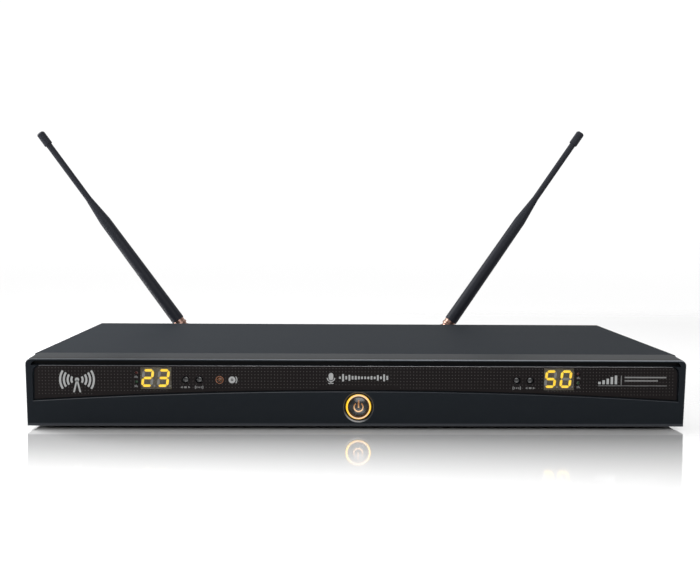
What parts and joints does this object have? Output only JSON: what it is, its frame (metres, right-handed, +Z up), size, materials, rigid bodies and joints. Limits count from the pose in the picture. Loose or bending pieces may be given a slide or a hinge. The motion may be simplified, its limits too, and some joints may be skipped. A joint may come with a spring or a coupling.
{
  "type": "wireless microphone receiver",
  "caption": "Full-width one-unit twin wireless microphone receiver with a tinted display window, a lit power button and hinged whip antennas on bayonet sockets.",
  "frame": {"origin": "at table level under the middle of the case, between front face and rear panel", "axes": "+X to the right as seen from the front, +Y from the front to the rear panel, +Z up"},
  "size_m": [0.4859, 0.2226, 0.216],
  "materials": {
    "case_paint": "satin charcoal paint on folded steel",
    "bezel_plastic": "satin black moulding",
    "window_tint": "smoked acrylic with a fine dot grid",
    "light_ring": "amber light guide",
    "button_black": "gloss black",
    "display_grey": "matt grey display face",
    "lamp_red": "clear red lens",
    "lamp_green": "clear green lens",
    "ir_amber": "clear amber lens",
    "switch_black": "matt black plastic",
    "foot_rubber": "matt black rubber",
    "screw_steel": "black zinc plated",
    "board_green": "green solder mask",
    "spacer_brass": "turned brass",
    "shield_tin": "tinned steel can",
    "lead_sheath": "brown coaxial sheath",
    "ribbon_grey": "grey ribbon cable",
    "capacitor_sleeve": "dark blue sleeve",
    "sink_aluminium": "black-grey extruded aluminium",
    "nickel": "nickel plate",
    "dielectric_white": "white insulator",
    "xlr_black": "black coated die casting",
    "contact_silver": "silver plated contact",
    "jack_black": "black moulding",
    "whip_black": "satin black moulded rubber",
    "ferrule_brass": "ribbed brass ferrule and hinge",
    "core_steel": "spring steel wire"
  },
  "bodies": {
    "case": {"base_pan": "case_paint", "top_cover": "case_paint", "front_bezel": "bezel_plastic", "display_window": "window_tint", "power_light_ring": "light_ring", "digit_display_left": "display_grey", "digit_display_right": "display_grey", "rf_lamps": "lamp_red", "af_lamps": "lamp_green", "ir_emitter": "ir_amber", "push_switches": "switch_black", "chips": "switch_black", "voltage_regulator": "switch_black", "xlr_inserts": "switch_black", "rubber_feet": "foot_rubber", "foot_screws": "screw_steel", "case_screws": "screw_steel", "board_screws": "screw_steel", "xlr_screws": "screw_steel", "display_board": "board_green", "main_board": "board_green", "board_standoffs": "spacer_brass", "receiver_module_left": "shield_tin", "receiver_module_right": "shield_tin", "antenna_lead_left": "lead_sheath", "antenna_lead_right": "lead_sheath", "ribbon_cable": "ribbon_grey", "capacitors": "capacitor_sleeve", "heat_sink": "sink_aluminium", "antenna_jack_left": "nickel", "antenna_jack_right": "nickel", "jack_nuts": "nickel", "mix_jack_nut": "nickel", "jack_insulators": "dielectric_white", "xlr_shells": "xlr_black", "xlr_pins": "contact_silver", "mix_jack": "jack_black", "dc_inlet": "jack_black"},
    "power_button": {"power_button": "button_black"},
    "select_button_left": {"select_button_left": "button_black"},
    "sync_button_left": {"sync_button_left": "button_black"},
    "bayonet_left": {"bayonet_ring_left": "nickel"},
    "swivel_left": {"antenna_plug_left": "nickel", "plug_contact_left": "contact_silver", "hinge_pin_left": "nickel"},
    "whip_left": {"antenna_elbow_left": "ferrule_brass", "antenna_sleeve_left": "whip_black", "antenna_core_left": "core_steel", "antenna_tip_left": "whip_black"},
    "select_button_right": {"select_button_right": "button_black"},
    "sync_button_right": {"sync_button_right": "button_black"},
    "bayonet_right": {"bayonet_ring_right": "nickel"},
    "swivel_right": {"antenna_plug_right": "nickel", "plug_contact_right": "contact_silver", "hinge_pin_right": "nickel"},
    "whip_right": {"antenna_elbow_right": "ferrule_brass", "antenna_sleeve_right": "whip_black", "antenna_core_right": "core_steel", "antenna_tip_right": "whip_black"}
  },
  "joints": [
    {"name": "power_press", "type": "slide", "parent": "case", "child": "power_button", "axis": [0, 1, 0], "range_m": [0, 0.0008], "stiffness_N_per_m": 600},
    {"name": "select_left_press", "type": "slide", "parent": "case", "child": "select_button_left", "axis": [0, 1, 0], "range_m": [0, 0.0005], "stiffness_N_per_m": 500},
    {"name": "sync_left_press", "type": "slide", "parent": "case", "child": "sync_button_left", "axis": [0, 1, 0], "range_m": [0, 0.0005], "stiffness_N_per_m": 500},
    {"name": "bayonet_left_turn", "type": "hinge", "parent": "case", "child": "bayonet_left", "pos_m": [-0.1353, 0.1, 0.026], "axis": [0, 1, 0], "range_deg": [0, 90]},
    {"name": "antenna_left_swivel", "type": "hinge", "parent": "case", "child": "swivel_left", "pos_m": [-0.1353, 0.122, 0.026], "axis": [0, 1, 0], "range_deg": [-53.9, 51.1]},
    {"name": "antenna_left_tilt", "type": "hinge", "parent": "swivel_left", "child": "whip_left", "pos_m": [-0.1353, 0.122, 0.026], "axis": [-0.808, 0, -0.5892], "range_deg": [0, 90]},
    {"name": "select_right_press", "type": "slide", "parent": "case", "child": "select_button_right", "axis": [0, 1, 0], "range_m": [0, 0.0005], "stiffness_N_per_m": 500},
    {"name": "sync_right_press", "type": "slide", "parent": "case", "child": "sync_button_right", "axis": [0, 1, 0], "range_m": [0, 0.0005], "stiffness_N_per_m": 500},
    {"name": "bayonet_right_turn", "type": "hinge", "parent": "case", "child": "bayonet_right", "pos_m": [0.0738, 0.1, 0.026], "axis": [0, 1, 0], "range_deg": [0, 90]},
    {"name": "antenna_right_swivel", "type": "hinge", "parent": "case", "child": "swivel_right", "pos_m": [0.0738, 0.122, 0.026], "axis": [0, 1, 0], "range_deg": [-49, 55.9]},
    {"name": "antenna_right_tilt", "type": "hinge", "parent": "swivel_right", "child": "whip_right", "pos_m": [0.0738, 0.122, 0.026], "axis": [-0.8286, 0, 0.5598], "range_deg": [0, 90]}
  ]
}
